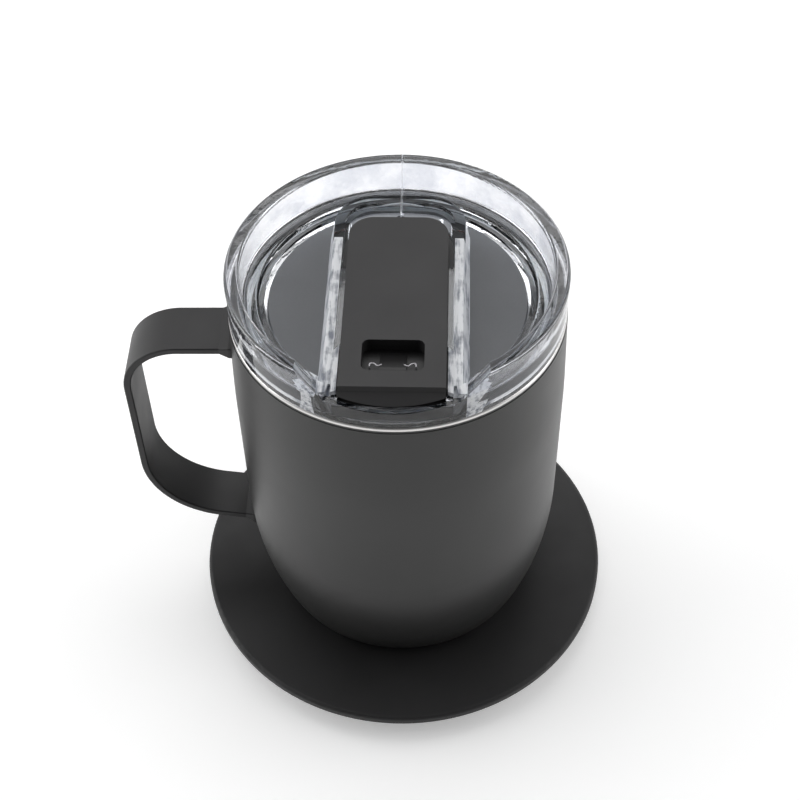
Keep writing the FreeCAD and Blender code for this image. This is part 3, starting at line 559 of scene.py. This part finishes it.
def rounded_plan(half, front, rear, front_round, rear_round):
    """Plan of a slab whose front and rear corners each have their own round."""
    plan = []
    corners = ((half - rear_round, rear - rear_round, rear_round, 0),
               (-half + rear_round, rear - rear_round, rear_round, 90),
               (-half + front_round, front + front_round, front_round, 180),
               (half - front_round, front + front_round, front_round, 270))
    for x, y, size, first in corners:
        for i in range(CORNER_STEPS + 1 if size > 0 else 1):
            angle = math.radians(first + 90 * i / CORNER_STEPS)
            plan.append((x + size * math.cos(angle), y + size * math.sin(angle)))
    return plan


def carve(piece, tools):
    """Boolean steps (operation, tool) applied to the piece; the tools are removed."""
    for operation, tool in tools:
        bpy.context.scene.collection.objects.link(tool)
        step = piece.modifiers.new(tool.name, "BOOLEAN")
        step.operation, step.solver, step.object = operation, "EXACT", tool
    plain_mesh(piece)
    for operation, tool in tools:
        bpy.data.objects.remove(tool)


def lid_cutters():
    """What the lid loses: both sweeps of the notch, the room behind the rails and the pouring edge."""
    def across(x, z):
        return Vector((x, FRONT, z))

    def upright(x, y):
        return Vector((x, y, REAR_WALL_TOP))

    def sideways(y, z):
        return Vector((-NOTCH_FOOT, y, z))

    cutters = []
    for name, bottom, back in (("sweep_low", NOTCH_FLOOR, RAIL_FRONT),
                               ("sweep_high", RAIL_TOP + OFF_FACE, RING_BACK)):
        right = notch_side(bottom)
        outline = right + [(-x, z) for x, z in right[::-1]]
        cutters.append(cutter(name, outline, across, Vector((0, back - FRONT, 0))))
    start = math.asin(RAIL_REAR / LEDGE_RADIUS)
    arc = [start + (math.pi - 2 * start) * i / LEDGE_STEPS for i in range(LEDGE_STEPS + 1)]
    outline = [(LEDGE_RADIUS * math.cos(a), LEDGE_RADIUS * math.sin(a)) for a in arc]
    room = Vector((0, 0, RAIL_TOP + OVERSHOOT - REAR_WALL_TOP))
    cutters.append(cutter("rear_room", outline, upright, room))
    drop = (POUR_START - FRONT) * POUR_SLOPE
    outline = [(POUR_START, NOTCH_FLOOR), (POUR_START, NOTCH_FLOOR + OVERSHOOT),
               (FRONT, NOTCH_FLOOR + OVERSHOOT), (FRONT, NOTCH_FLOOR - drop)]
    cutters.append(cutter("pouring_edge", outline, sideways, Vector((2 * NOTCH_FOOT, 0, 0))))
    return cutters


def plain_mesh(piece):
    """The evaluated piece as a plain mesh in place of its modifiers."""
    bpy.context.view_layer.update()
    seen = piece.evaluated_get(bpy.context.evaluated_depsgraph_get())
    mesh = bpy.data.meshes.new_from_object(seen)
    piece.modifiers.clear()
    piece.data = mesh
    return mesh


def keep_normals(piece, name):
    """Give the piece the node's exact corner normals where it kept its faces; new cut faces stay flat."""
    turn = Euler((0, 0, LID_TURN - PACKED_TURN)).to_matrix()
    source, mesh = node[name].data, piece.data
    places = [turn @ v.co for v in source.vertices]
    corners = [turn @ c.vector for c in source.corner_normals]
    tree = BVHTree.FromPolygons(places, [tuple(face.vertices) for face in source.polygons])
    normals = [None] * len(mesh.loops)
    for face in mesh.polygons:
        _, facing, found, away = tree.find_nearest(face.center)
        kept = found is not None and away < SAME_PLACE and facing.dot(face.normal) > SAME_FACING
        if kept:
            origin = source.polygons[found]
            at = [places[i] for i in origin.vertices]
            known = [corners[i] for i in origin.loop_indices]
        for i in face.loop_indices:
            value = face.normal
            if kept:
                value = barycentric_transform(mesh.vertices[mesh.loops[i].vertex_index].co, *at, *known)
            normals[i] = value.normalized()
    mesh.shade_smooth()
    mesh.normals_split_custom_set(normals)
    mesh.update()
    return mesh


def stand_for(name):
    """New object in place of a CAD node, with its merged copy as mesh."""
    piece = bpy.data.objects.new(name + "_seen", merged_copy(name))
    bpy.context.scene.collection.objects.link(piece)
    return piece


def lip_strips():
    """Strips that carry the retention lips on to the rails' front ends, one on each side of the channel."""
    strips = []
    rise = Vector((0, 0, RAIL_TOP - LIP_BOTTOM - 2 * OFF_FACE))
    back, front = LIP_FRONT + JOIN, RAIL_FRONT + JOIN
    for side in (-1, 1):
        inner, outer = side * STRIP_INSIDE, side * (RAIL_INSIDE + STRIP_OVERLAP)
        plan = [(inner, front + STRIP_CORNER), (outer, front), (outer, back), (inner, back)]
        strips.append(cutter("strip", plan[::side], on_top(LIP_BOTTOM + OFF_FACE), rise))
    return strips


def frost(mesh):
    """Frosted rails with painted light, and windows of painted shade, picked out by the faces' places."""
    own = Euler((0, 0, -LID_TURN)).to_matrix()
    for face in mesh.polygons:
        middle, facing = own @ face.center / MM, own @ face.normal
        within = RAIL_INSIDE if middle.y > LIP_FRONT else LIP_INSIDE
        across = within - FACE_ROOM < abs(middle.x) < RAIL_OUTSIDE
        along = RAIL_FRONT - 5 * FACE_ROOM < middle.y < RAIL_REAR + 3 * FACE_ROOM
        upright = RAIL_FOOT < middle.z < RAIL_TOP + FACE_ROOM
        shown = facing.z > FACING_UP or facing.x * middle.x > 0 or middle.y < LIP_FRONT
        if across and along and upright and shown:
            face.material_index = 1
        elif abs(middle.z - WINDOW_HEIGHT) < WINDOW_ROOM and facing.z > FLAT_UP:
            face.material_index = 2


def lid_seen():
    """Clear lid with the sweeping notch, the open rear room and the frosted rails, whose whitish stripes are
    painted light.
    """
    piece = stand_for("lid_shell")
    cuts = [("DIFFERENCE", tool) for tool in lid_cutters()]
    carve(piece, cuts + [("UNION", strip) for strip in lip_strips()])
    mesh = keep_normals(piece, "lid_shell")
    wear(mesh, "clear_plastic", "frosted_plastic", "satin_window")
    frost(mesh)
    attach(piece, "lid")
    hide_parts("lid_shell")


def cap_tools():
    """What shapes the cap's plate: neck and nose below it, side profile, round front and finger window."""
    lower = CAP_BOTTOM + JOIN
    upwards = Vector((0, 0, CUT_HEIGHT))
    from_below = on_top(NECK_BOTTOM - OVERSHOOT)
    neck_rear = SLIDER_REAR - NECK_REAR_INSET
    sole = rounded_plan(SLIDER_HALF - NECK_INSET, NOSE_BACK, neck_rear, 0, NECK_REAR_ROUND)
    neck = cutter("neck", sole, on_top(NECK_BOTTOM), Vector((0, 0, lower - NECK_BOTTOM)))
    tip = rounded_plan(SLIDER_HALF, SLIDER_FRONT, NOSE_BACK + JOIN, 0, 0)
    nose = cutter("nose", tip, on_top(NOSE_BOTTOM), Vector((0, 0, lower - NOSE_BOTTOM)))
    rear, above, below = SLIDER_REAR + OVERSHOOT, SLIDER_TOP + OVERSHOOT, NECK_BOTTOM - OVERSHOOT
    side = [(CREASE, above), (rear, above), (rear, below), (SLIDER_FRONT, below),
            (SLIDER_FRONT, NOSE_BOTTOM + NOSE_EDGE), (CREASE - CREASE_RUN, SLIDER_TOP - NOSE_DROP),
            (CREASE, SLIDER_TOP - CREASE_DROP)]
    profile = cutter("profile", side, lambda y, z: Vector((-CUT_HALF_WIDTH, y, z)),
                     Vector((2 * CUT_HALF_WIDTH, 0, 0)))
    angles = [math.radians(i) for i in range(0, 360, FRONT_STEP)]
    circle = [(-SLIDER_FRONT * math.cos(a), -SLIDER_FRONT * math.sin(a)) for a in angles]
    round_front = cutter("round_front", circle, from_below, upwards)
    long_way = FINGER_LENGTH / 2
    opening = rounded_plan(FINGER_WIDTH / 2, -long_way, long_way, FINGER_ROUND, FINGER_ROUND)
    window = cutter("window", [(x, y + FINGER_CENTRE) for x, y in opening], from_below, upwards)
    return [("UNION", neck), ("UNION", nose), ("INTERSECT", profile), ("INTERSECT", round_front),
            ("DIFFERENCE", window)]


def cap_seen():
    """Slider cap with its straight crease and sloping nose, finger window and softened edges."""
    plan = rounded_plan(SLIDER_HALF, SLIDER_FRONT, SLIDER_REAR, 0, SLIDER_REAR_ROUND)
    plate = cutter("slider_cap_seen", plan, on_top(CAP_BOTTOM), Vector((0, 0, SLIDER_TOP - CAP_BOTTOM)))
    bpy.context.scene.collection.objects.link(plate)
    carve(plate, cap_tools())
    soft = plate.modifiers.new("soft_edges", "BEVEL")
    soft.width = SLIDER_EDGE * MM
    soft.segments = 3
    soft.limit_method = "ANGLE"
    soft.angle_limit = math.radians(30)
    soft.harden_normals = True
    wear(plain_mesh(plate), "slider_black")
    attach(plate, "slider")
    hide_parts("slider_cap")


def hook_wire(side):
    """Curled lip of one hook beside the tongue, a fine light grey line under the finger window: a painted
    highlight.
    """
    curve = bpy.data.curves.new("hook", "CURVE")
    curve.dimensions = "3D"
    curve.bevel_depth = HOOK_WIRE * MM
    curve.bevel_resolution = 2
    curve.use_fill_caps = True
    line = curve.splines.new("BEZIER")
    line.bezier_points.add(len(HOOK_LINE) - 1)
    turn = Euler((0, 0, LID_TURN)).to_matrix()
    for knot, (x, y) in zip(line.bezier_points, HOOK_LINE):
        knot.co = turn @ Vector((side * x, y, HOOK_HEIGHT)) * MM
        knot.handle_left_type = knot.handle_right_type = "AUTO"
    return bpy.data.objects.new("hook", curve)


def runner_seen():
    """Runner under the cap, with its sole and tongue in a darker black than the cap: painted shade of the
    finger window's recess.
    """
    piece = stand_for("slider_runner")
    wear(keep_normals(piece, "slider_runner"), "runner_black")
    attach(piece, "slider")
    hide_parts("slider_runner")


def hook_lips():
    """The two curled hook lips as one piece, light grey as a painted highlight."""
    work = bmesh.new()
    for side in (-1, 1):
        wire = hook_wire(side)
        bpy.context.scene.collection.objects.link(wire)
        bpy.context.view_layer.update()
        seen = wire.evaluated_get(bpy.context.evaluated_depsgraph_get())
        work.from_mesh(bpy.data.meshes.new_from_object(seen))
        bpy.data.objects.remove(wire)
    bmesh.ops.recalc_face_normals(work, faces=work.faces)
    mesh = bpy.data.meshes.new("hook_lips")
    work.to_mesh(mesh)
    work.free()
    mesh.shade_smooth()
    wear(mesh, "hook_gloss")
    lips = bpy.data.objects.new("hook_lips", mesh)
    bpy.context.scene.collection.objects.link(lips)
    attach(lips, "slider")


lid_seen()
cap_seen()
runner_seen()
hook_lips()


# Floor, world and lamps

FLOOR_SIZE = 6.0
FLOOR_TONE = 0.9
FLOOR_FLECK = 0.02
FLOOR_GLOW = 0.3
HORIZON_LIGHT = 1.0
OVERHEAD_LIGHT = 0.3
FRONT_LIGHT = 0.22


def floor():
    """Plain pale paper that glows a little where the camera sees it, straight or through the lid."""
    half = FLOOR_SIZE / 2
    mesh = bpy.data.meshes.new("floor")
    corners = [(-half, -half, 0), (half, -half, 0), (half, half, 0), (-half, half, 0)]
    mesh.from_pydata(corners, [], [(0, 1, 2, 3)])
    ground = bpy.data.objects.new("floor", mesh)
    bpy.context.scene.collection.objects.link(ground)
    m = Material("floor_paper", Roughness=0.9, Specular_IOR_Level=0.1)
    m.colour([FLOOR_TONE] * 3, [FLOOR_TONE + FLOOR_FLECK] * 3, 0.5, 0.002)
    seen = m.add("ShaderNodeLightPath")
    straight = m.maths("MAXIMUM", seen.outputs["Is Camera Ray"],
                       m.maths("MAXIMUM", seen.outputs["Is Glossy Ray"], seen.outputs["Is Transmission Ray"]))
    glow = m.add("ShaderNodeEmission")
    m.wire(m.maths("MULTIPLY", straight, FLOOR_GLOW), glow.inputs["Strength"])
    both = m.add("ShaderNodeAddShader")
    m.wire(m.shader.outputs[0], both.inputs[0])
    m.wire(glow.outputs[0], both.inputs[1])
    m.show(both.outputs[0])
    mesh.materials.append(m.material)


def world():
    """White horizon, dimmer overhead and on the camera's side; plain white straight past the floor."""
    surroundings = bpy.data.worlds.new("studio")
    surroundings.use_nodes = True
    bpy.context.scene.world = surroundings
    t = Tree(surroundings.node_tree)
    seen = t.add("ShaderNodeLightPath")
    way = t.add("ShaderNodeSeparateXYZ")
    t.wire(t.add("ShaderNodeTexCoord").outputs["Generated"], way.inputs[0])
    height = t.spread(way.outputs["Z"], 0.2, 0.7, HORIZON_LIGHT, OVERHEAD_LIGHT)
    front = t.spread(way.outputs["Y"], -0.65, 0.1, FRONT_LIGHT, 1.0)
    studio = t.maths("MULTIPLY", height, front)
    other = t.spread(seen.outputs["Is Transmission Ray"], 0.0, 1.0, studio, height)
    behind = surroundings.node_tree.nodes["Background"]
    behind.inputs["Color"].default_value = (1, 1, 1, 1)
    t.wire(t.spread(seen.outputs["Is Camera Ray"], 0.0, 1.0, other, 1.0), behind.inputs["Strength"])


def lamp(name, place, target, width, height, power):
    """Rectangular soft lamp that faces a target."""
    data = bpy.data.lights.new(name, "AREA")
    data.shape = "RECTANGLE"
    data.size, data.size_y = width, height
    data.energy = power
    box = bpy.data.objects.new(name, data)
    box.location = place
    aim = Vector(target) - Vector(place)
    box.rotation_euler = aim.to_track_quat("-Z", "Y").to_euler()
    bpy.context.scene.collection.objects.link(box)


camera()
floor()
world()
lamp("softbox_left", (-0.9, 0.1, 0.5), (0, 0, 0.06), 0.9, 1.1, 5.0)
lamp("softbox_right", (0.9, 0.1, 0.5), (0, 0, 0.06), 0.9, 1.1, 4.2)
lamp("softbox_top", (-0.1, 0.45, 1.1), (0, 0, 0.1), 1.0, 0.8, 5.0)

scene = bpy.context.scene
scene.view_settings.view_transform = "Standard"
scene.cycles.max_bounces = 24
scene.cycles.transmission_bounces = 20
scene.cycles.transparent_max_bounces = 16
